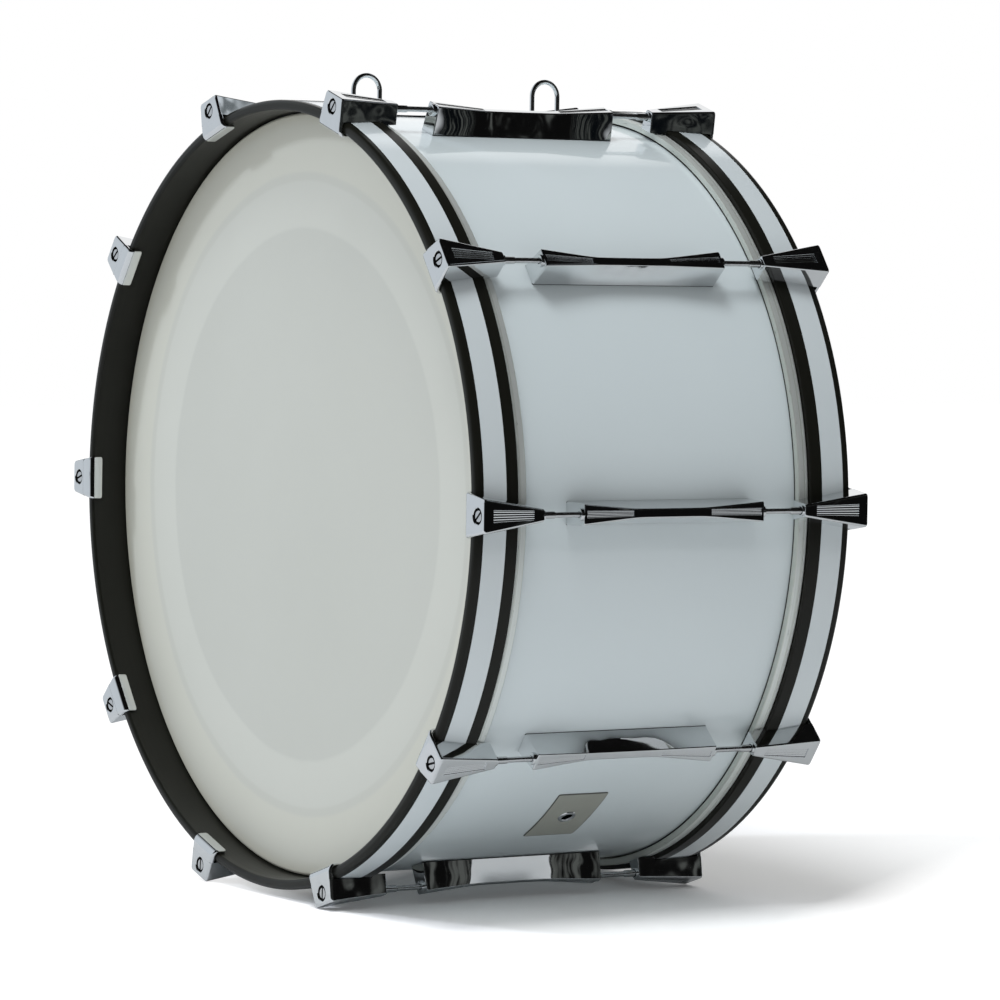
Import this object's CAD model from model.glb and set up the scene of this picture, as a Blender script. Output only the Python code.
"""A marching bass drum of 26 by 12 inches in studio light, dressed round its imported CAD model.

Metres, +Z up. The drum's axis lies along Y and its front head faces -Y.
Angles round the drum are counted clockwise from the top, as seen from the front.
A fitting is made as if it sat at the top of the back side: X across, Y outward along the axis
and Z outward from it.
"""

import math

import bmesh
import bpy
from mathutils import Matrix, Vector


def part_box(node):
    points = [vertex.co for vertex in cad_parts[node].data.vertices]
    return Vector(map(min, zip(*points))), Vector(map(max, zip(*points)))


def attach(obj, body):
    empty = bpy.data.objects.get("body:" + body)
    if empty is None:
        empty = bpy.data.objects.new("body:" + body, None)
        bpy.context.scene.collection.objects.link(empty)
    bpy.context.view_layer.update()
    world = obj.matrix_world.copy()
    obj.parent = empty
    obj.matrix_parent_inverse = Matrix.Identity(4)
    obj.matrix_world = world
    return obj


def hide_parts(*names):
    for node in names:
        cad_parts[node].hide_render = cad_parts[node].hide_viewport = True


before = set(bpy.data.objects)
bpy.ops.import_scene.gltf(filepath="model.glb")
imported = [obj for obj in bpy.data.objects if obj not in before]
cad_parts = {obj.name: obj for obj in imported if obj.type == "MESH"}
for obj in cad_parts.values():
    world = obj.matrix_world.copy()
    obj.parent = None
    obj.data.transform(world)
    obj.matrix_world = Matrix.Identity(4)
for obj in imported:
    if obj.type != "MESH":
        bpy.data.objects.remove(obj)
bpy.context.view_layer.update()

# Places that come from the frame
shell_low, shell_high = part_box("shell")
shell_radius = (shell_high.x - shell_low.x) / 2
axis_height = (shell_high.z + shell_low.z) / 2
edge_y = shell_high.y
hoop_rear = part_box("back_hoop")[0].y
hoop_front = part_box("back_hoop")[1].y
stripe_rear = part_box("back_hoop_stripe")[0].y
stripe_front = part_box("back_hoop_stripe")[1].y
flesh_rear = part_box("back_head")[0].y
film_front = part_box("back_head")[1].y
claw_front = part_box("back_claw_01")[1].y
rod_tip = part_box("back_rod_01")[0].y
rod_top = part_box("back_rod_01")[1].y
eye_low, eye_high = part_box("back_carrying_eye")

# Sizes that more than one piece shares
ROD_COUNT = 10
SIDES = {"front": -1, "back": 1}
rod_angles = [(i + 0.5) * 360 / ROD_COUNT for i in range(ROD_COUNT)]
seat_gap = 0.0003
overrun = 0.002
shell_wall = 0.007
rod_circle_rise = 0.0202
rod_circle = shell_radius + rod_circle_rise
rod_radius = 0.003
rod_head_length = 0.0045
hoop_room = 0.002
hoop_thickness = 0.009
hoop_inner = shell_radius + hoop_room
hoop_outer = hoop_inner + hoop_thickness
plate_half_length = 0.025
plate_half_height = 0.035

# Steps round a ring as large as the drum, round a bore or flange, and round a small turned piece
ring_steps = 360
bore_steps = 64
turned_steps = 48

# Stands a mesh that was turned round Y up along Z
stand_up = Matrix.Rotation(math.pi / 2, 4, "X")


# Meshes

def grid(rows, wrap_rows=False, wrap_columns=True, caps=False, reach=1e-7):
    """Mesh of quads through rows of points, with the outline of each end row filled in if asked."""
    mesh = bmesh.new()
    made = [[mesh.verts.new(point) for point in row] for row in rows]
    columns = len(rows[0])
    for i in range(len(rows) if wrap_rows else len(rows) - 1):
        this, after = made[i], made[(i + 1) % len(rows)]
        for j in range(columns if wrap_columns else columns - 1):
            k = (j + 1) % columns
            mesh.faces.new((this[j], this[k], after[k], after[j]))
    if caps:
        mesh.faces.new(made[0])
        mesh.faces.new(made[-1])
    bmesh.ops.remove_doubles(mesh, verts=mesh.verts, dist=reach)
    bmesh.ops.recalc_face_normals(mesh, faces=mesh.faces)
    if mesh.calc_volume(signed=True) < 0:
        bmesh.ops.reverse_faces(mesh, faces=mesh.faces)
    result = bpy.data.meshes.new("grid")
    mesh.to_mesh(result)
    mesh.free()
    return result


def rounded(corners, steps=4):
    """Closed outline through corners of (x, y, radius), with an arc of that radius at each."""
    points = []
    for i, (x, y, radius) in enumerate(corners):
        here = Vector((x, y))
        before = (Vector(corners[i - 1][:2]) - here).normalized()
        after = (Vector(corners[(i + 1) % len(corners)][:2]) - here).normalized()
        if radius == 0:
            points.append(here)
            continue
        half = before.angle(after) / 2
        centre = here + (before + after).normalized() * (radius / math.sin(half))
        start = here + before * (radius / math.tan(half)) - centre
        end = here + after * (radius / math.tan(half)) - centre
        for step in range(steps + 1):
            points.append(centre + start.lerp(end, step / steps).normalized() * radius)
    return points


def ring(radii, y):
    """Points round the Y axis, one for each radius."""
    points = []
    for i, radius in enumerate(radii):
        a = 2 * math.pi * i / len(radii)
        points.append((radius * math.sin(a), y, radius * math.cos(a)))
    return points


def revolve(profile, steps, closed=True):
    """Turned mesh round the Y axis from (radius, y) points."""
    rows = []
    for i in range(steps):
        a = 2 * math.pi * i / steps
        rows.append([(radius * math.sin(a), y, radius * math.cos(a)) for radius, y in profile])
    return grid(rows, wrap_rows=True, wrap_columns=closed)


def turned_rod(radius, start, end, steps):
    """Plain round bar along Y, from start to end."""
    return revolve([(0, start), (radius, start), (radius, end), (0, end)], steps, closed=False)


def moved(mesh, x=0.0, y=0.0, z=0.0):
    mesh.transform(Matrix.Translation((x, y, z)))
    return mesh


def welded(mesh, reach=1e-6):
    """The mesh with corners closer than reach made one, so that it stays closed."""
    work = bmesh.new()
    work.from_mesh(mesh)
    bmesh.ops.remove_doubles(work, verts=work.verts, dist=reach)
    bmesh.ops.dissolve_degenerate(work, edges=work.edges, dist=reach)
    work.to_mesh(mesh)
    work.free()
    return mesh


def carve(target, *tools, how="DIFFERENCE"):
    """The target mesh cut by the tools, or joined with them."""
    scene = bpy.context.scene.collection
    body = bpy.data.objects.new("carve_body", target)
    scene.objects.link(body)
    others = []
    for tool in tools:
        other = bpy.data.objects.new("carve_tool", tool)
        scene.objects.link(other)
        others.append(other)
        modifier = body.modifiers.new("carve", "BOOLEAN")
        modifier.operation = how
        modifier.solver = "EXACT"
        modifier.object = other
    graph = bpy.context.evaluated_depsgraph_get()
    result = bpy.data.meshes.new_from_object(body.evaluated_get(graph))
    for leftover in [body] + others:
        bpy.data.objects.remove(leftover)
    return welded(result)


def smooth(mesh, angle=35):
    """The mesh with round faces shaded smooth and its flats left flat, because larger faces weigh more."""
    mesh.shade_smooth()
    mesh.set_sharp_from_angle(angle=math.radians(angle))
    body = bpy.data.objects.new("smooth_body", mesh)
    bpy.context.scene.collection.objects.link(body)
    modifier = body.modifiers.new("weigh", "WEIGHTED_NORMAL")
    modifier.keep_sharp = True
    modifier.weight = 80
    graph = bpy.context.evaluated_depsgraph_get()
    weighed = body.evaluated_get(graph)
    result = bpy.data.meshes.new_from_object(weighed, preserve_all_data_layers=True, depsgraph=graph)
    bpy.data.objects.remove(body)
    return result


def plated(mesh, metal, is_bare):
    """The mesh in its metal, with the unplated finish on faces whose centre the test is_bare picks."""
    mesh.materials.append(finishes[metal])
    mesh.materials.append(unplated)
    for face in mesh.polygons:
        if is_bare(*face.center):
            face.material_index = 1
    return mesh


def spot(end, angle=0.0):
    """Matrix from the top of the back side to a place on a side. end is 1 at the back, -1 at the front."""
    side = Matrix.Rotation(math.pi, 4, "Z") if end < 0 else Matrix.Identity(4)
    turn = Matrix.Rotation(end * math.radians(angle), 4, "Y")
    return Matrix.Translation((0, 0, axis_height)) @ side @ turn


def add(name, mesh, slot, body, matrix, *nodes):
    """One piece of the drum in its place, riding on its body and standing for its CAD nodes."""
    piece = bpy.data.objects.new(name, mesh)
    bpy.context.scene.collection.objects.link(piece)
    piece.matrix_world = matrix
    if not mesh.materials:
        mesh.materials.append(finishes[slot])
    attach(piece, body)
    if nodes:
        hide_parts(*nodes)


# Materials

def as_input(colour):
    """A colour as a node's input takes it, or a socket as it is."""
    return colour if isinstance(colour, bpy.types.NodeSocket) else (*colour, 1)


class Nodes:
    """A node tree, with short calls to add nodes and link them."""

    def __init__(self, tree):
        self.tree = tree

    def put(self, socket, value):
        if isinstance(value, bpy.types.NodeSocket):
            self.tree.links.new(value, socket)
        else:
            socket.default_value = value

    def node(self, kind, inputs, output=0, **settings):
        made = self.tree.nodes.new("ShaderNode" + kind)
        for key, value in settings.items():
            setattr(made, key, value)
        for key, value in inputs.items():
            self.put(made.inputs[key], value)
        return made.outputs[output]

    def position(self):
        """Object coordinates, so that a pattern sticks to its piece."""
        return self.node("TexCoord", {}, output="Object")

    def noise(self, scale, vector=None, detail=3.0, roughness=0.55):
        place = vector or self.position()
        inputs = {"Vector": place, "Scale": scale, "Detail": detail, "Roughness": roughness}
        return self.node("TexNoise", inputs, output="Fac")

    def span(self, value, low, high, from_low=0.3, from_high=0.7):
        """value from one range carried to another, and held at its ends."""
        inputs = {"Value": value, "From Min": from_low, "From Max": from_high, "To Min": low, "To Max": high}
        return self.node("MapRange", inputs)

    def rise(self, value, start, end):
        """0 up to start, 1 from end on, and straight in between."""
        return self.span(value, 0.0, 1.0, start, end)

    def ramp(self, value, stops):
        """Colour by value, from stops of (place, colour)."""
        made = self.tree.nodes.new("ShaderNodeValToRGB")
        elements = made.color_ramp.elements
        while len(elements) < len(stops):
            elements.new(1)
        for element, (place, colour) in zip(elements, stops):
            element.position = place
            element.color = (*colour, 1)
        self.put(made.inputs["Fac"], value)
        return made.outputs["Color"]

    def mix(self, factor, first, second):
        """A colour between two, which are colours or sockets."""
        made = self.tree.nodes.new("ShaderNodeMix")
        made.data_type = "RGBA"
        self.put(made.inputs["Factor"], factor)
        colour_inputs = (6, 7)
        colour_output = 2
        for index, colour in zip(colour_inputs, (first, second)):
            self.put(made.inputs[index], as_input(colour))
        return made.outputs[colour_output]

    def math(self, operation, first, second=0.0):
        return self.node("Math", {0: first, 1: second}, operation=operation)

    def length(self, vector):
        return self.node("VectorMath", {0: vector}, output="Value", operation="LENGTH")

    def toward(self, vector, direction):
        """How far the vector reaches along the direction."""
        return self.node("VectorMath", {0: vector, 1: direction}, output="Value", operation="DOT_PRODUCT")

    def glow(self, colour, strength=1.0):
        return self.node("Emission", {"Color": as_input(colour), "Strength": strength})

    def blend(self, factor, first, second):
        """A shader between two shaders."""
        return self.node("MixShader", {0: factor, 1: first, 2: second})

    def round_axis(self):
        """Radius, angle and place along the drum's axis, on a piece whose origin is the drum's centre."""
        place = self.node("SeparateXYZ", {"Vector": self.position()})
        across, along, up = place.node.outputs
        radius = self.length(self.node("CombineXYZ", {"X": across, "Z": up}))
        return {"radius": radius, "angle": self.math("ARCTAN2", across, up), "along": along}

    def drawn_out(self, place, around, across):
        """Coordinates for a pattern that runs round the drum, from the values of round_axis."""
        return self.node("CombineXYZ", {
            "X": self.math("MULTIPLY", place["angle"], around),
            "Y": self.math("MULTIPLY", place["along"], across),
            "Z": self.math("MULTIPLY", place["radius"], across),
        })


class Finish(Nodes):
    """A material whose surface is one principled shader."""

    def __init__(self, name, **surface):
        self.material = bpy.data.materials.new(name)
        self.material.use_nodes = True
        super().__init__(self.material.node_tree)
        self.surface = self.tree.nodes["Principled BSDF"]
        self.set(**surface)

    def set(self, **inputs):
        for key, value in inputs.items():
            self.put(self.surface.inputs[key.replace("_", " ")], value)

    def bump(self, height, distance, strength=1.0):
        inputs = {"Height": height, "Distance": distance, "Strength": strength}
        self.set(Normal=self.node("Bump", inputs))


def shell_finish():
    """White lacquer, dark under the flesh hoops, so that their seam reads as a fine dark line."""
    look = Finish("shell_lacquer", Roughness=0.34, Coat_Weight=1.0, Coat_Roughness=0.05, Coat_IOR=1.5)
    mottle = look.noise(5.0, detail=2.0)
    lacquer = look.mix(mottle, (0.535, 0.601, 0.624), (0.58, 0.645, 0.667))
    shade = (0.03, 0.03, 0.026)
    shade_blur = 0.0004
    along = look.math("ABSOLUTE", look.round_axis()["along"])
    under_hoop = look.rise(along, flesh_rear - shade_blur, flesh_rear + shade_blur)
    look.set(Base_Color=look.mix(under_hoop, lacquer, shade))
    orange_peel = 0.00003
    look.bump(look.noise(260.0, detail=1.0), orange_peel)
    return look.material


def stripe_finish():
    look = Finish("stripe_inlay", Coat_Weight=1.0, Coat_Roughness=0.06, Coat_IOR=1.5)
    cloud = look.noise(9.0)
    look.set(Base_Color=look.mix(cloud, (0.50, 0.555, 0.58), (0.56, 0.61, 0.63)))
    look.set(Roughness=look.span(cloud, 0.32, 0.42))
    orange_peel = 0.00003
    look.bump(look.noise(300.0, detail=1.0), orange_peel)
    return look.material


def hoop_finish():
    """Black lacquer over maple: satin, with the grain just showing along the bent plies."""
    look = Finish("hoop_lacquer", Specular_IOR_Level=0.22)
    plies = look.drawn_out(look.round_axis(), 3.0, 260.0)
    grain = look.noise(2.0, plies, detail=5.0)
    look.set(Base_Color=look.mix(grain, (0.006, 0.0062, 0.0046), (0.0095, 0.0095, 0.0072)))
    look.set(Roughness=look.span(grain, 0.28, 0.34))
    grain_depth = 0.000015
    look.bump(grain, grain_depth)
    return look.material


def film_finish():
    """Coated film. A damping ring behind it shows through as bands of tone."""
    look = Finish("head_film", Roughness=0.5)
    radius = look.round_axis()["radius"]
    waver = 0.0012
    wavering = look.math("ADD", radius, look.span(look.noise(7.0), -waver, waver))
    share = look.math("DIVIDE", wavering, shell_radius)
    centre, ring_tone, seam = (0.44, 0.457, 0.425), (0.483, 0.5, 0.463), (0.455, 0.47, 0.432)
    rim, edge = (0.493, 0.504, 0.452), (0.465, 0.465, 0.397)
    tone = look.ramp(share, [
        (0.0, centre), (0.695, centre),
        (0.705, ring_tone), (0.82, ring_tone),
        (0.828, seam), (0.842, seam),
        (0.852, rim), (0.965, rim),
        (1.0, edge),
    ])
    cloud = look.span(look.noise(4.0, detail=4.0), -0.008, 0.008)
    look.set(Base_Color=look.node("BrightContrast", {"Color": tone, "Bright": cloud}))
    coating = 0.00003
    look.bump(look.noise(900.0, detail=2.0), coating)
    return look.material


def chrome_finish():
    """Polished castings: mirror bright, with the slight swell that hand polishing leaves."""
    look = Finish("chrome", Metallic=1.0)
    smear = look.noise(60.0, detail=5.0)
    look.set(Base_Color=look.mix(smear, (0.74, 0.755, 0.765), (0.80, 0.812, 0.82)))
    look.set(Roughness=look.span(smear, 0.02, 0.05))
    swell = 0.00045
    look.bump(look.noise(32.0, detail=1.0), swell)
    return look.material


def unplated_finish():
    """Bores and slots that polish and plating don't reach."""
    look = Finish("unplated", Metallic=0.4)
    soot = look.noise(500.0)
    look.set(Base_Color=look.mix(soot, (0.004, 0.004, 0.004), (0.012, 0.012, 0.011)))
    look.set(Roughness=look.span(soot, 0.5, 0.7))
    return look.material


def steel_finish():
    look = Finish("rod_steel", Metallic=1.0)
    wear = look.noise(90.0, detail=3.0)
    look.set(Base_Color=look.mix(wear, (0.56, 0.565, 0.57), (0.68, 0.685, 0.69)))
    look.set(Roughness=look.span(wear, 0.10, 0.16))
    return look.material


def aluminium_finish():
    """Drawn channel, brushed round the drum, with dark specks in the brushing."""
    look = Finish("flesh_hoop_metal", Metallic=0.65)
    place = look.round_axis()
    brushed = look.noise(1.0, look.drawn_out(place, 6.0, 1500.0), detail=4.0)
    streaks = look.noise(1.0, look.drawn_out(place, 50.0, 600.0), detail=4.0)
    speck = look.span(streaks, 0.0, 0.7, 0.66, 0.78)
    share = look.math("DIVIDE", look.math("SUBTRACT", place["along"], flesh_rear), hoop_rear - flesh_rear)
    dull, bright = (0.64, 0.67, 0.62), (0.80, 0.84, 0.82)
    worn = look.ramp(share, [
        (0.0, dull), (0.06, dull),
        (0.1, bright), (0.5, bright),
        (0.58, dull), (0.7, bright),
    ])
    base = look.mix(look.span(brushed, 0.0, 0.4), worn, (0.66, 0.70, 0.67))
    look.set(Base_Color=look.mix(speck, base, (0.13, 0.14, 0.125)))
    look.set(Roughness=look.span(brushed, 0.38, 0.55))
    brushing = 0.00004
    look.bump(brushed, brushing)
    return look.material


def plate_finish():
    """Brushed sheet with a thin dark border, so that the plate's edge shows on the shell."""
    look = Finish("plate_metal", Metallic=0.3)
    stretch = (40.0, 1400.0, 40.0)
    stretched = look.node("VectorMath", {0: look.position(), 1: stretch}, operation="MULTIPLY")
    brushed = look.noise(1.0, stretched, detail=4.0)
    place = look.round_axis()
    up = look.math("DIVIDE", look.math("ABSOLUTE", place["angle"]), plate_half_height / shell_radius)
    across = look.math("DIVIDE", look.math("ABSOLUTE", place["along"]), plate_half_length)
    border = look.rise(look.math("MAXIMUM", up, across), 0.965, 0.985)
    base = look.mix(brushed, (0.31, 0.321, 0.285), (0.374, 0.384, 0.344))
    look.set(Base_Color=look.mix(border, base, (0.11, 0.115, 0.10)))
    look.set(Roughness=look.span(brushed, 0.3, 0.45))
    brushing = 0.00002
    look.bump(brushed, brushing)
    return look.material


finishes = {
    "shell_lacquer": shell_finish(),
    "head_film": film_finish(),
    "hoop_lacquer": hoop_finish(),
    "stripe_inlay": stripe_finish(),
    "chrome": chrome_finish(),
    "rod_steel": steel_finish(),
    "plate_metal": plate_finish(),
}
flesh_hoop_metal = aluminium_finish()
unplated = unplated_finish()


# Shell

plate_angle = 144
vent_radius = 0.0045
vent_tube = 0.001


def shell_mesh():
    """Wall with a bearing edge at each end and the vent's hole."""
    bevel = 0.0045
    edge_round = 0.0016
    outline = rounded([
        (shell_radius, -edge_y, edge_round),
        (shell_radius, edge_y, edge_round),
        (shell_radius - bevel, edge_y - bevel / 2, 0),
        (shell_radius - shell_wall, edge_y - 2 * bevel, 0),
        (shell_radius - shell_wall, 2 * bevel - edge_y, 0),
        (shell_radius - bevel, bevel / 2 - edge_y, 0),
    ])
    start = shell_radius - 2 * shell_wall
    hole = turned_rod(vent_radius + vent_tube, start, shell_radius + shell_wall, turned_steps)
    hole.transform(Matrix.Rotation(math.radians(plate_angle), 4, "Y") @ stand_up)
    return smooth(carve(revolve(outline, ring_steps), hole))


add("shell_wall", shell_mesh(), "shell_lacquer", "drum_body", spot(1), "shell")


# Heads: a film that turns down over the shell's edge into a flesh hoop

flesh_room = 0.0008
flesh_thickness = 0.0062
flesh_inner = shell_radius + flesh_room
flesh_outer = flesh_inner + flesh_thickness
flesh_front = hoop_rear - seat_gap
film = 0.0004


def film_mesh():
    collar_round = 0.0030
    back = film_front - film
    outline = rounded([
        (0, film_front, 0),
        (flesh_inner + film, film_front, collar_round),
        (flesh_inner + film, flesh_front, 0),
        (flesh_inner, flesh_front, 0),
        (flesh_inner, back, collar_round - film),
        (0, back, 0),
    ], steps=8)
    return smooth(revolve(outline, ring_steps, closed=False))


def flesh_hoop_mesh():
    """Channel that the film is crimped into: a broad outer face, a groove and a narrow front lip."""
    lip = 0.0022
    groove = 0.0005
    depth = 0.0006
    inner_round = 0.0004
    rear_round = 0.0009
    groove_round = 0.0003
    front_round = 0.0008
    inner = flesh_inner + film + seat_gap / 3
    outline = rounded([
        (inner, flesh_rear, inner_round),
        (flesh_outer, flesh_rear, rear_round),
        (flesh_outer, flesh_front - lip - groove, groove_round),
        (flesh_outer - depth, flesh_front - lip - groove, 0),
        (flesh_outer - depth, flesh_front - lip, 0),
        (flesh_outer, flesh_front - lip, groove_round),
        (flesh_outer, flesh_front, front_round),
        (inner, flesh_front, inner_round),
    ])
    mesh = smooth(revolve(outline, ring_steps))
    mesh.materials.append(flesh_hoop_metal)
    return mesh


films = film_mesh()
flesh_hoops = flesh_hoop_mesh()
for side, end in SIDES.items():
    node = side + "_head"
    add(side + "_film", films, "head_film", "drum_body", spot(end), node)
    add(side + "_flesh_hoop", flesh_hoops, "rod_steel", "drum_body", spot(end), node)


# Counter hoops with their inlaid stripes

stripe_depth = 0.0012
stripe_seam = 0.0002
stripe_round = 0.0002


def hoop_mesh():
    inner_rear_round = 0.0008
    outer_rear_round = 0.0012
    outer_front_round = 0.0042
    inner_front_round = 0.0028
    groove = hoop_outer - stripe_depth
    outline = rounded([
        (hoop_inner, hoop_rear, inner_rear_round),
        (hoop_outer, hoop_rear, outer_rear_round),
        (hoop_outer, stripe_rear - stripe_seam, stripe_round),
        (groove, stripe_rear - stripe_seam, 0),
        (groove, stripe_front + stripe_seam, 0),
        (hoop_outer, stripe_front + stripe_seam, stripe_round),
        (hoop_outer, hoop_front, outer_front_round),
        (hoop_inner, hoop_front, inner_front_round),
    ], steps=6)
    return smooth(revolve(outline, ring_steps))


def stripe_mesh():
    foot = hoop_outer - stripe_depth + stripe_seam
    outline = rounded([
        (foot, stripe_rear, 0),
        (hoop_outer, stripe_rear, stripe_round),
        (hoop_outer, stripe_front, stripe_round),
        (foot, stripe_front, 0),
    ])
    return smooth(revolve(outline, ring_steps))


hoops = hoop_mesh()
stripes = stripe_mesh()
for side, end in SIDES.items():
    rim = side + "_rim"
    add(side + "_counter_hoop", hoops, "hoop_lacquer", rim, spot(end), side + "_hoop")
    add(side + "_inlay", stripes, "stripe_inlay", rim, spot(end), side + "_hoop_stripe")


# Claws: hollow castings with a front plate, a fluted sloping top and a lip that hooks inside the hoop

claw_length = 0.0615
claw_front_rise = 0.020
claw_end_rise = 0.0146
claw_end = claw_front - claw_length
claw_top = hoop_outer + claw_front_rise
claw_end_top = hoop_outer + claw_end_rise
claw_front_half = 0.0144
claw_end_half = 0.0050
claw_draft_share = 0.163
claw_wall = 0.0024
claw_roof = 0.0026
claw_edge = 0.0019
claw_nose = 0.0026
claw_plate = 0.0042
recess_radius = 0.0067


def claw_top_at(y):
    along = (y - claw_end) / claw_length
    return claw_end_top + (claw_top - claw_end_top) * along


def claw_half_at(y, z):
    along = (y - claw_end) / claw_length
    at_top = claw_end_half + (claw_front_half - claw_end_half) * along
    return at_top + claw_draft_share * (claw_top_at(y) - z)


def claw_section(y, top, bottom, inset=0.0):
    """Outline across the claw at y, with its two upper edges rounded."""
    edge = claw_edge + inset
    corners = [
        (-claw_half_at(y, bottom) + inset, bottom, 0),
        (-claw_half_at(y, top) + inset, top - inset, edge),
        (claw_half_at(y, top) - inset, top - inset, edge),
        (claw_half_at(y, bottom) - inset, bottom, 0),
    ]
    return [(x, y, z) for x, z in rounded(corners, steps=5)]


def end_round(radius, steps=5):
    """(distance from the end, inset) pairs that round an end off, from the end inward."""
    pairs = []
    for i in range(steps + 1):
        a = math.pi / 2 * i / steps
        pairs.append((radius * (1 - math.cos(a)), radius * (1 - math.sin(a))))
    return pairs


def claw_body():
    """Outside of the casting: along the hoop, and down behind it to the tooth."""
    tooth_depth = 0.003
    tooth_step = 0.0001
    rear_round = 0.0012
    tooth = hoop_outer - tooth_depth
    over_hoop = hoop_outer + seat_gap
    tooth_front = hoop_rear - seat_gap
    places = [(claw_end + distance, inset) for distance, inset in end_round(rear_round)]
    places += [(tooth_front, 0.0), (tooth_front + tooth_step, 0.0)]
    steps = 6
    for i in range(1, steps):
        places.append((tooth_front + (claw_front - claw_nose - tooth_front) * i / steps, 0.0))
    places += [(claw_front - distance, inset) for distance, inset in reversed(end_round(claw_nose))]
    rows = []
    for y, inset in places:
        bottom = tooth if y <= tooth_front else over_hoop
        rows.append(claw_section(y, claw_top_at(y), bottom, inset))
    return grid(rows, caps=True)


def claw_hook():
    """Front plate and lip as one bent bar, whose lip widens and follows the hoop's inner wall."""
    bend = 0.0044
    lip_length = 0.013
    lip_thickness = 0.003
    lip_corner = 0.0014
    lip_edge = 0.0012
    plate_inner_edge = 0.0008
    inside = 0.00005
    taper = (claw_front_half - claw_end_half) / claw_length
    lip_middle = hoop_inner - seat_gap - lip_thickness / 2
    plate_middle = claw_front - inside - claw_plate / 2
    start = rod_circle - recess_radius

    # Places down the plate, round the bend and along the lip: y, z, turn, share of the bend, inset
    path = []
    straight = 4
    for i in range(straight + 1):
        path.append((plate_middle, start + (lip_middle + bend - start) * i / straight, 0.0, 0.0, 0.0))
    turns = 10
    for i in range(1, turns + 1):
        a = math.pi / 2 * i / turns
        y = plate_middle - bend + bend * math.cos(a)
        z = lip_middle + bend - bend * math.sin(a)
        path.append((y, z, a, i / turns, 0.0))
    lip_end = claw_front - lip_length
    for distance, inset in reversed(end_round(lip_corner)):
        path.append((lip_end + distance, lip_middle, math.pi / 2, 1.0, inset))

    rows = []
    for y, z, turn, share, inset in path:
        thickness = claw_plate + (lip_thickness - claw_plate) * share
        outer = claw_half_at(claw_front, z) - inside - inset
        inner = outer - taper * thickness * (1 - share)
        outer_edge = claw_nose + (lip_edge - claw_nose) * share
        inner_edge = plate_inner_edge + (lip_edge - plate_inner_edge) * share
        corners = [
            (-inner, -thickness / 2, inner_edge),
            (inner, -thickness / 2, inner_edge),
            (outer, thickness / 2, outer_edge),
            (-outer, thickness / 2, outer_edge),
        ]
        row = []
        for x, out in rounded(corners, steps=5):
            bow = x * x / (2 * hoop_inner) * math.sin(turn)
            row.append((x, y + out * math.cos(turn), z - out * math.sin(turn) - bow))
        rows.append(row)
    return grid(rows, caps=True)


def claw_hollow():
    rear_wall = 0.0035
    front_wall = 0.010
    bottom = hoop_inner
    rows = []
    for y in (claw_end + rear_wall, claw_front - front_wall):
        top = claw_top_at(y) - claw_roof
        rows.append([
            (-claw_half_at(y, bottom) + claw_wall, y, bottom),
            (-claw_half_at(y, top) + claw_wall, y, top),
            (claw_half_at(y, top) - claw_wall, y, top),
            (claw_half_at(y, bottom) - claw_wall, y, bottom),
        ])
    return grid(rows, caps=True)


def flutes(start, end, start_half, end_half, top_at, sink, depth, ribs=5):
    """What a panel of low rounded ribs takes out of a sloping top."""
    steps = 8 * ribs
    rows = []
    for y, half in ((start, start_half), (end, end_half)):
        row = [(half, y, top_at(y) + overrun), (-half, y, top_at(y) + overrun)]
        for i in range(steps + 1):
            share = i / steps
            rib = abs(math.sin(math.pi * ribs * share))
            row.append((half * (2 * share - 1), y, top_at(y) - sink - depth * (1 - rib)))
        rows.append(row)
    return grid(rows, caps=True)


def claw_panel():
    setback = 0.0095
    length = 0.041
    rear_half = 0.0042
    front_half = 0.0053
    sink = 0.0007
    flute_depth = 0.0003
    end = claw_front - setback
    return flutes(end - length, end, rear_half, front_half, claw_top_at, sink, flute_depth)


def claw_mesh():
    collar_length = 0.0018
    collar_root = 0.001
    collar_radius = 0.0046
    collar_round = 0.0006
    collar_end = claw_end - collar_length
    collar = revolve(rounded([
        (0, collar_end, 0),
        (collar_radius, collar_end, collar_round),
        (collar_radius, claw_end + collar_root, 0),
        (0, claw_end + collar_root, 0),
    ]), turned_steps, closed=False)
    rod_room = 0.0006
    chamfer = 0.0006
    bore_radius = rod_radius + rod_room
    recess_floor = rod_top - rod_head_length - seat_gap
    way = revolve([
        (0, collar_end - overrun),
        (bore_radius, collar_end - overrun),
        (bore_radius, recess_floor),
        (recess_radius, recess_floor),
        (recess_radius, claw_front - chamfer),
        (recess_radius + chamfer + overrun, claw_front + overrun),
        (0, claw_front + overrun),
    ], bore_steps, closed=False)
    for tool in (collar, way):
        moved(tool, z=rod_circle)
    solid = carve(claw_body(), claw_hollow())
    solid = carve(solid, claw_hook(), collar, how="UNION")
    solid = smooth(carve(solid, way, claw_panel()))

    near = 0.0002
    recess_reach = recess_radius + chamfer / 4

    def is_bare(x, y, z):
        from_rod = math.hypot(x, z - rod_circle)
        in_bore = from_rod < bore_radius + near and claw_end + overrun < y < recess_floor
        in_recess = from_rod < recess_reach and recess_floor - chamfer < y < claw_front - chamfer
        return in_bore or in_recess

    return plated(solid, "chrome", is_bare)


claws = claw_mesh()
for side, end in SIDES.items():
    for number, angle in enumerate(rod_angles, 1):
        name = f"{side}_claw_{number:02d}"
        add(name + "_casting", claws, "chrome", side + "_rim", spot(end, angle), name)


# Tension rods: slotted head, plain shank, rolled thread

shank_reach = 0.0116
shank_end = claw_end - shank_reach
thread_pitch = 0.001
thread_radius = 0.0024
thread_depth = 0.0003
rod_head_radius = 0.0049
rod_head_rise = 0.0009
slot_width = 0.0019
slot_depth = 0.0024

# How far each slot is turned from the line out from the axis, clockwise as seen from outside
slot_turns = {
    "front": [155, 169, 42, 49, 160, 13, 125, 20, 76, 122],
    "back": [15, 95, 60, 140, 30, 110, 75, 5, 125, 45],
}


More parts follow.
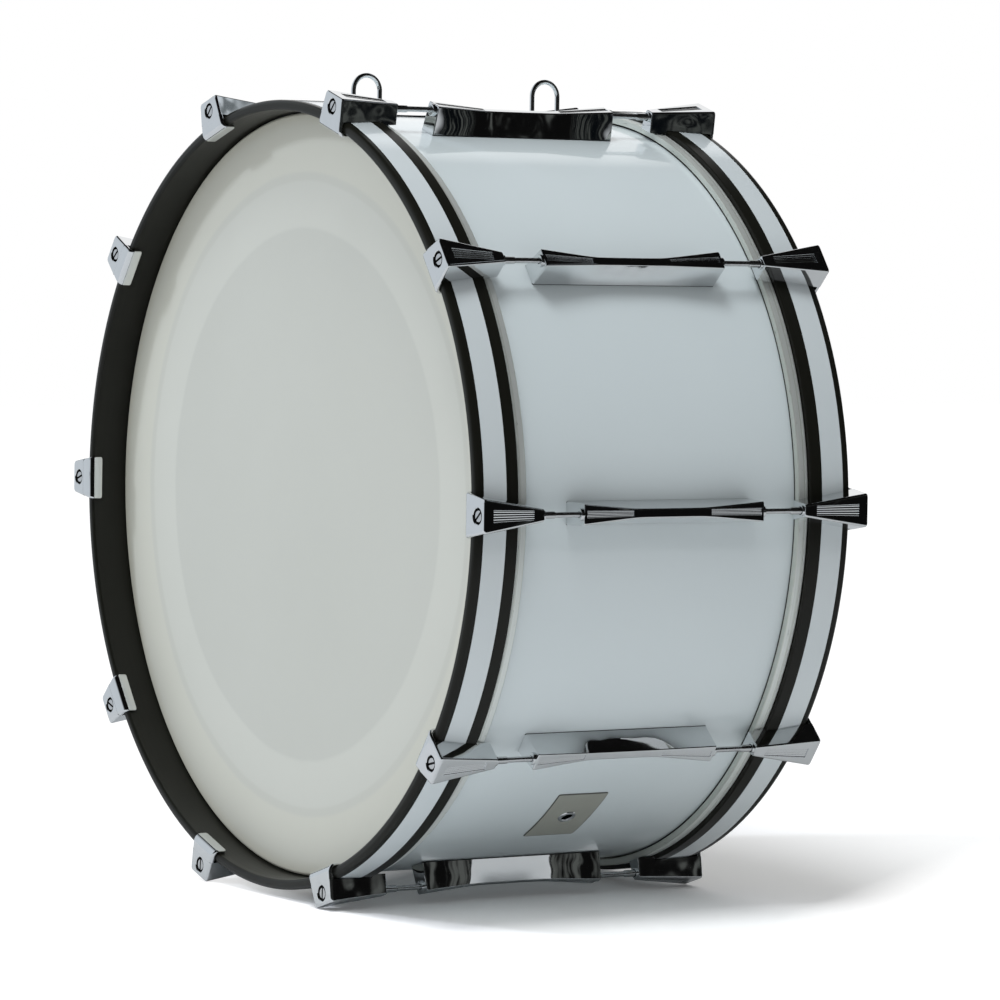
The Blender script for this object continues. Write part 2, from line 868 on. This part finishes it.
def rod_mesh():
    around = 24
    steps_per_turn = 6
    shoulder = 0.001
    shoulder_round = 0.0004
    plating = 0.0001
    under_round = 0.0004
    head_edge = 0.0007
    head_round = 0.0006
    crown = 0.0001
    shank_radius = rod_radius + plating

    rows = []
    y = rod_tip
    while y < shank_end - shoulder:
        phases = [(y / thread_pitch - i / around) % 1 for i in range(around)]
        rows.append(ring([thread_radius - thread_depth * (1 - abs(2 * phase - 1)) for phase in phases], y))
        y += thread_pitch / steps_per_turn

    under = rod_top - rod_head_length
    head_top = rod_top + rod_head_rise
    outline = rounded([
        (thread_radius - thread_depth, shank_end - shoulder, 0),
        (shank_radius, shank_end, shoulder_round),
        (shank_radius, under, 0),
        (rod_head_radius, under, under_round),
        (rod_head_radius, head_top - head_edge, head_round),
        (crown, head_top, 0),
    ])
    for radius, y in outline[:-1]:
        rows.append(ring([radius] * around, y))
    body = grid(rows, caps=True)
    slot = grid([[(x, y, z) for x, z in ((-1, -1), (1, -1), (1, 1), (-1, 1))] for y in (-1, 1)], caps=True)
    slot.transform(Matrix.Diagonal((slot_width / 2, slot_depth, 2 * rod_head_radius, 1)))
    solid = smooth(carve(body, moved(slot, y=head_top)), angle=40)

    near = 0.00004
    margin = 0.0004

    def is_bare(x, y, z):
        in_slot = abs(x) < slot_width / 2 + near and y > head_top - slot_depth - margin
        on_rim = math.hypot(x, z) > rod_head_radius - margin
        return in_slot or (on_rim and under - margin < y < head_top - rod_head_rise)

    return plated(solid, "rod_steel", is_bare)


rods = rod_mesh()
for side, end in SIDES.items():
    for number, (angle, turn) in enumerate(zip(rod_angles, slot_turns[side]), 1):
        name = f"{side}_rod_{number:02d}"
        body = f"{side}_tension_rod_{number:02d}"
        place = spot(end, angle) @ Matrix.Translation((0, 0, rod_circle))
        place = place @ Matrix.Rotation(math.radians(turn), 4, "Y")
        add(name + "_screw", rods, "rod_steel", body, place, name)


# Lugs: bow-tie castings with ruled sides, a fluted panel near each end and a swivel nut in each end

lug_half_length = 0.0908
lug_top_half_length = 0.0892
lug_height = 0.0257
lug_waist_dip = 0.0043
lug_base = shell_radius + seat_gap / 2
lug_end_top = shell_radius + lug_height
lug_waist_top = lug_end_top - lug_waist_dip
lug_base_half = 0.0099
lug_end_half = 0.0087
lug_waist_half = 0.0038
lug_waist_share = 0.38
lug_edge = 0.0013
lug_foot = 0.0007
lug_shift = -0.002


def waist_blend(share):
    """0 along the waist and 1 at the ends, straight in between with a soft start."""
    soft = 0.12

    def hinge(t):
        return (t + math.sqrt(t * t + soft * soft)) / 2

    low = hinge(-lug_waist_share / (1 - lug_waist_share))
    value = hinge((abs(share) - lug_waist_share) / (1 - lug_waist_share))
    return (value - low) / (hinge(1) - low)


def lug_top_at(y):
    return lug_waist_top + (lug_end_top - lug_waist_top) * waist_blend(y / lug_top_half_length)


def lug_section(share, inset):
    """Outline across the lug at a share of its half length, whose ends lean in towards the top."""
    foot_round = 0.0003
    top = lug_top_at(share * lug_top_half_length) - inset
    half = lug_waist_half + (lug_end_half - lug_waist_half) * waist_blend(share) - inset
    base_half = lug_base_half - inset
    edge = lug_edge + inset
    corners = [
        (-base_half, lug_base, 0),
        (-base_half, lug_base + lug_foot, foot_round),
        (-half, top, edge),
        (half, top, edge),
        (base_half, lug_base + lug_foot, foot_round),
        (base_half, lug_base, 0),
    ]
    row = []
    for x, z in rounded(corners, steps=5):
        up = (z - lug_base) / (top - lug_base)
        length = lug_half_length + (lug_top_half_length - lug_half_length) * up
        row.append((x, share * length, z))
    return row


def lug_body():
    corner = 0.0012
    rounding = end_round(corner)
    steps = 48
    shares = [2 * i / steps - 1 for i in range(steps + 1)]
    spare_share = 0.01
    straight_share = 1 - rounding[-1][0] / lug_half_length - spare_share
    ends = [(1 - distance / lug_half_length, inset) for distance, inset in rounding]
    rows = [lug_section(-share, inset) for share, inset in ends]
    rows += [lug_section(share, 0.0) for share in shares if abs(share) < straight_share]
    rows += [lug_section(share, inset) for share, inset in reversed(ends)]
    return grid(rows, caps=True)


def lug_panel():
    setback = 0.0026
    length = 0.048
    inner_half = 0.0026
    outer_half = 0.0032
    sink = 0.0005
    flute_depth = 0.00017
    end = lug_top_half_length - setback
    return flutes(end - length, end, inner_half, outer_half, lug_top_at, sink, flute_depth)


def lug_mesh():
    thread_room = 0.0006
    bore_start = 0.070
    bore_end = 0.1
    steps = 32
    bore = moved(turned_rod(thread_radius + thread_room, bore_start, bore_end, steps), z=rod_circle)
    panel = lug_panel()
    tools = [bore, panel]
    for tool in (bore, panel):
        other = tool.copy()
        other.transform(Matrix.Rotation(math.pi, 4, "Z"))
        tools.append(other)
    solid = smooth(carve(lug_body(), *tools), angle=30)
    return plated(solid, "chrome", lambda x, y, z: z < lug_base + lug_foot)


def swivel_nut_mesh():
    """Collar of the nut that the rod screws into, where it stands out of the lug's end."""
    outer = 0.0053
    thread_room = 0.0002
    root = 0.003
    rise = 0.0025
    outer_round = 0.0008
    inner_round = 0.0004
    inner = thread_radius + thread_room
    start = lug_top_half_length - root
    end = lug_top_half_length + rise
    outline = rounded([
        (inner, start, 0),
        (outer, start, 0),
        (outer, end, outer_round),
        (inner, end, inner_round),
    ])
    return smooth(moved(revolve(outline, turned_steps), z=rod_circle))


lugs = lug_mesh()
nuts = swivel_nut_mesh()
shift = Matrix.Translation((0, lug_shift, 0))
for number, angle in enumerate(rod_angles, 1):
    name = f"lug_{number:02d}"
    add(name + "_casting", lugs, "chrome", "drum_body", shift @ spot(1, angle), name)
    for side, end in SIDES.items():
        add(f"{name}_{side}_swivel_nut", nuts, "chrome", "drum_body", shift @ spot(end, angle))


# Carrying eyes: bent wire, with a washer outside the shell and a nut inside it on each leg

eye_wire = 0.0021
eye_half_span = 0.0132
eye_height = 0.037
eye_shift = -0.0015
eye_middle = (eye_low.y + eye_high.y) / 2


def eye_mesh():
    bend_centre = shell_radius + eye_height - eye_wire - eye_half_span
    foot = eye_low.z - axis_height

    # Places up one leg, over the bend and down the other leg: y, z, turn
    path = [(-eye_half_span, foot, 0.0)]
    legs = 6
    for i in range(1, legs):
        path.append((-eye_half_span, foot + (bend_centre - foot) * i / legs, 0.0))
    turns = 32
    for i in range(turns + 1):
        a = math.pi * i / turns
        path.append((-eye_half_span * math.cos(a), bend_centre + eye_half_span * math.sin(a), a))
    for i in range(1, legs + 1):
        path.append((eye_half_span, bend_centre + (foot - bend_centre) * i / legs, math.pi))

    around = 20
    rows = []
    for y, z, a in path:
        row = []
        for i in range(around):
            b = 2 * math.pi * i / around
            reach = eye_wire * math.cos(b)
            row.append((eye_wire * math.sin(b), y - reach * math.cos(a), z + reach * math.sin(a)))
        rows.append(row)
    return smooth(grid(rows, caps=True), angle=60)


def eye_washer_mesh():
    radius = 0.0048
    thickness = 0.0012
    foot_round = 0.0002
    outer_round = 0.0005
    inner_round = 0.0002
    top = shell_radius + thickness
    mesh = revolve(rounded([
        (eye_wire, shell_radius, 0),
        (radius, shell_radius, foot_round),
        (radius, top, outer_round),
        (eye_wire, top, inner_round),
    ]), turned_steps)
    mesh.transform(stand_up)
    return smooth(mesh)


def eye_nut_mesh():
    height = 0.004
    corner_radius = 0.0046
    sides = 6
    top = shell_radius - shell_wall - seat_gap
    hexagon = []
    for i in range(sides):
        a = 2 * math.pi * i / sides
        hexagon.append((corner_radius * math.sin(a), corner_radius * math.cos(a)))
    return smooth(grid([[(x, y, z) for x, y in hexagon] for z in (top - height, top)], caps=True), angle=20)


eyes = eye_mesh()
washers = eye_washer_mesh()
eye_nuts = eye_nut_mesh()
for side, end in SIDES.items():
    name = side + "_carrying_eye"
    middle = spot(1) @ Matrix.Translation((0, end * eye_middle + eye_shift, 0))
    add(name + "_wire", eyes, "chrome", "drum_body", middle, name)
    for leg, along in (("a", -eye_half_span), ("b", eye_half_span)):
        foot = middle @ Matrix.Translation((0, along, 0))
        add(f"{name}_washer_{leg}", washers, "chrome", "drum_body", foot)
        add(f"{name}_nut_{leg}", eye_nuts, "rod_steel", "drum_body", foot)


# Vent: a bare plate bent to the shell, with an eyelet through both

plate_thickness = 0.0008


def flat_plate():
    """The plate before it is bent: its height along X, its length along Y, and bored in the middle."""
    corner = 0.0015
    edge = 0.00025
    outline = rounded([
        (-plate_half_height, -plate_half_length, corner),
        (plate_half_height, -plate_half_length, corner),
        (plate_half_height, plate_half_length, corner),
        (-plate_half_height, plate_half_length, corner),
    ], steps=6)
    rows = []
    for height, inset in ((0, 0), (plate_thickness - edge, 0), (plate_thickness, edge)):
        scale_x = (plate_half_height - inset) / plate_half_height
        scale_y = (plate_half_length - inset) / plate_half_length
        rows.append([(x * scale_x, y * scale_y, height) for x, y in outline])
    bore_reach = 0.01
    bore = turned_rod(vent_radius + vent_tube / 2, -bore_reach, bore_reach, bore_steps)
    bore.transform(stand_up)
    return carve(grid(rows, caps=True), bore)


def plate_mesh():
    """The plate cut into strips and bent round the shell."""
    strips = 24
    mesh = flat_plate()
    fine = bmesh.new()
    fine.from_mesh(mesh)
    for i in range(1, strips):
        x = plate_half_height * (2 * i / strips - 1)
        geometry = fine.verts[:] + fine.edges[:] + fine.faces[:]
        bmesh.ops.bisect_plane(fine, geom=geometry, plane_co=(x, 0, 0), plane_no=(1, 0, 0))
    base = shell_radius + seat_gap / 3
    for vert in fine.verts:
        a = vert.co.x / shell_radius
        radius = base + vert.co.z
        vert.co.x = radius * math.sin(a)
        vert.co.z = radius * math.cos(a)
    fine.to_mesh(mesh)
    fine.free()
    return smooth(welded(mesh), angle=30)


def eyelet_mesh():
    """Tube through plate and shell, flared to a rounded flange on the plate."""
    tube_depth = 0.0085
    tube_share = 0.9
    flange = 0.0082
    flange_bevel = 0.0006
    flange_edge = 0.0001
    throat = 0.0004
    rise = 0.0014
    shoulder_share = 0.7
    mouth_share = 0.4
    shoulder_round = 0.0005
    crest_round = 0.0008
    face = shell_radius + plate_thickness
    tube = vent_radius + vent_tube * tube_share
    mesh = revolve(rounded([
        (vent_radius, shell_radius - tube_depth, 0),
        (tube, shell_radius - tube_depth, 0),
        (tube, face, 0),
        (flange, face, flange_edge),
        (flange - flange_bevel, face + rise * shoulder_share, shoulder_round),
        (tube + throat, face + rise, crest_round),
        (vent_radius, face + rise * mouth_share, shoulder_round),
    ]), bore_steps)
    mesh.transform(stand_up)
    return smooth(mesh)


vent_place = spot(1, plate_angle)
add("vent_cover", plate_mesh(), "plate_metal", "drum_body", vent_place, "vent_plate")
add("vent_eyelet", eyelet_mesh(), "chrome", "drum_body", vent_place)


# Camera, at the photograph's place

camera_place = Vector((3.68251, -2.25639, 0.55323))
camera_azimuth = math.radians(57.9412)
camera_elevation = math.radians(2.8119)
camera_roll = math.radians(0.8632)
focal_share = 4.88678


def add_camera():
    ahead = Vector((
        -math.sin(camera_azimuth) * math.cos(camera_elevation),
        math.cos(camera_azimuth) * math.cos(camera_elevation),
        -math.sin(camera_elevation),
    ))
    level = ahead.cross(Vector((0, 0, 1))).normalized()
    lifted = level.cross(ahead)
    right = level * math.cos(camera_roll) + lifted * math.sin(camera_roll)
    up = lifted * math.cos(camera_roll) - level * math.sin(camera_roll)
    turn = Matrix((right, up, -ahead)).transposed().to_4x4()
    data = bpy.data.cameras.new("camera")
    data.sensor_fit = "HORIZONTAL"
    data.lens = focal_share * data.sensor_width
    data.clip_end = 200
    camera = bpy.data.objects.new("camera", data)
    camera.matrix_world = Matrix.Translation(camera_place) @ turn
    bpy.context.scene.collection.objects.link(camera)
    bpy.context.scene.camera = camera


# Studio: a pale floor, two soft lamps, and a world that fills the shade and is mirrored by the metal

WHITE = (1, 1, 1)
light_side = Vector((-0.80, -0.60, 0.0))
light_wall = (0.62, 0.668, 0.715)
dark_room = (0.004, 0.004, 0.004)
lamp_distance = 3.2

LAMPS = {
    "key": {"direction": (-0.7, -1.0, 0.85), "size": 0.35, "power": 33, "colour": (0.86, 0.90, 1.0)},
    "top": {"direction": (0.3, -0.3, 1.0), "size": 1.1, "power": 56, "colour": (0.97, 0.99, 1.0)},
}


def add_lamp(name, direction, size, power, colour):
    """Round lamp aimed at the drum's middle, which the metal doesn't mirror."""
    data = bpy.data.lights.new(name, "AREA")
    data.shape = "DISK"
    data.size = size
    data.energy = power
    data.color = colour
    lamp = bpy.data.objects.new(name, data)
    lamp.visible_glossy = False
    aim = Vector((0, 0, axis_height))
    lamp.location = aim + Vector(direction).normalized() * lamp_distance
    lamp.rotation_euler = (lamp.location - aim).to_track_quat("Z", "Y").to_euler()
    bpy.context.scene.collection.objects.link(lamp)


def floor_for_camera(look, cloud, away):
    """The drum's shadow on a floor that turns white far off, on the lamp's side and where the shadow ends."""
    far_off = (1.0, 3.0)
    lamp_side = (0.05, 0.26)
    shadow_end = (-0.41, -0.335)
    lifted = look.node("BsdfDiffuse", {"Color": look.mix(cloud, (1.06, 1.065, 1.07), (1.08, 1.08, 1.08))})
    near = look.node("AddShader", {0: lifted, 1: look.glow(WHITE, 0.04)})
    leftward = look.toward(look.position(), light_side)
    lit = look.math("MAXIMUM", look.rise(away, *far_off), look.rise(leftward, *lamp_side))
    open_floor = look.math("MAXIMUM", lit, look.span(leftward, 1.0, 0.0, *shadow_end))
    return look.blend(open_floor, near, look.glow(WHITE, 1.1))


def floor_for_metal(look, cloud, away):
    """A dimmed floor that ends a short way off, at a light wall on the left and a dark room elsewhere."""
    floor_end = (1.62, 1.78)
    room_start = (3.4, 5.0)
    heading = look.node("VectorMath", {0: look.position()}, operation="NORMALIZE")
    wall = look.rise(look.toward(heading, light_side), 0.2, 0.5)
    clutter = look.mix(look.rise(look.noise(8.0), 0.5, 0.6), (0.003, 0.004, 0.005), (0.07, 0.075, 0.07))
    dark_side = look.mix(look.rise(away, *room_start), clutter, dark_room)
    far = look.glow(look.mix(wall, dark_side, light_wall))
    dimmed = look.node("BsdfDiffuse", {"Color": look.mix(cloud, (0.53, 0.545, 0.557), (0.553, 0.57, 0.58))})
    return look.blend(look.rise(away, *floor_end), dimmed, far)


def floor_finish():
    """Pale floor, which the camera, the metal and all other light each see in their own way."""
    look = Finish("floor_paint")
    look.tree.nodes.remove(look.surface)
    cloud = look.noise(0.8)
    away = look.length(look.position())
    matt = look.node("BsdfDiffuse", {"Color": look.mix(cloud, (0.94, 0.945, 0.945), (0.97, 0.97, 0.965))})
    paint = look.node("AddShader", {0: matt, 1: look.glow(WHITE, 0.09)})
    paths = look.node("LightPath", {}).node.outputs
    surface = look.blend(paths["Is Camera Ray"], paint, floor_for_camera(look, cloud, away))
    surface = look.blend(paths["Is Glossy Ray"], surface, floor_for_metal(look, cloud, away))
    look.put(look.tree.nodes["Material Output"].inputs["Surface"], surface)
    return look.material


def add_floor():
    half = 12.0
    drop = 0.0002
    corners = [(-half, -half), (half, -half), (half, half), (-half, half)]
    mesh = bpy.data.meshes.new("floor")
    mesh.from_pydata([(x, y, -drop) for x, y in corners], [], [(0, 1, 2, 3)])
    mesh.materials.append(floor_finish())
    floor = bpy.data.objects.new("floor", mesh)
    bpy.context.scene.collection.objects.link(floor)


def room_for_metal(look, ray, height):
    """What metal mirrors: a cluttered dark room with a light wall, a window and a gap of light."""
    window_aim = Vector((-0.72, 0.50, 0.47)).normalized()
    gap_aim = Vector((0.31, 0.70, 0.64)).normalized()
    clutter = look.mix(look.rise(look.noise(16.0, ray), 0.52, 0.62), dark_room, (0.09, 0.095, 0.09))
    room = look.mix(look.rise(height, 0.3, 0.42), clutter, dark_room)
    room = look.mix(look.rise(look.toward(ray, light_side), 0.45, 0.7), room, light_wall)
    room = look.mix(look.rise(look.toward(ray, window_aim), 0.93, 0.96), room, WHITE)
    gap = look.mix(look.rise(look.noise(22.0, ray), 0.4, 0.56), (0.16, 0.18, 0.19), (0.66, 0.71, 0.75))
    return look.mix(look.rise(look.toward(ray, gap_aim), 0.9915, 0.998), room, gap)


def add_world():
    """White for the camera, a soft fill from the front and above, and for metal a room of its own."""
    world = bpy.data.worlds.new("studio")
    world.use_nodes = True
    bpy.context.scene.world = world
    look = Nodes(world.node_tree)
    background = look.tree.nodes["Background"]
    ray = look.node("TexCoord", {}, output="Generated")
    place = look.node("SeparateXYZ", {"Vector": ray}).node.outputs

    level = look.span(place["Y"], 0.82, 0.11, -0.95, -0.3)
    level = look.node("CombineXYZ", {"X": level, "Y": level, "Z": level})
    fill = look.mix(look.rise(place["Z"], 0.45, 0.8), level, (0.84, 0.84, 0.84))

    paths = look.node("LightPath", {}).node.outputs
    seen = look.mix(paths["Is Glossy Ray"], fill, room_for_metal(look, ray, place["Z"]))
    seen = look.mix(paths["Is Camera Ray"], seen, WHITE)
    look.put(background.inputs["Color"], seen)
    background.inputs["Strength"].default_value = 1.0


add_camera()
add_floor()
add_world()
for name, lamp in LAMPS.items():
    add_lamp(name, **lamp)

bpy.context.scene.view_settings.view_transform = "Standard"
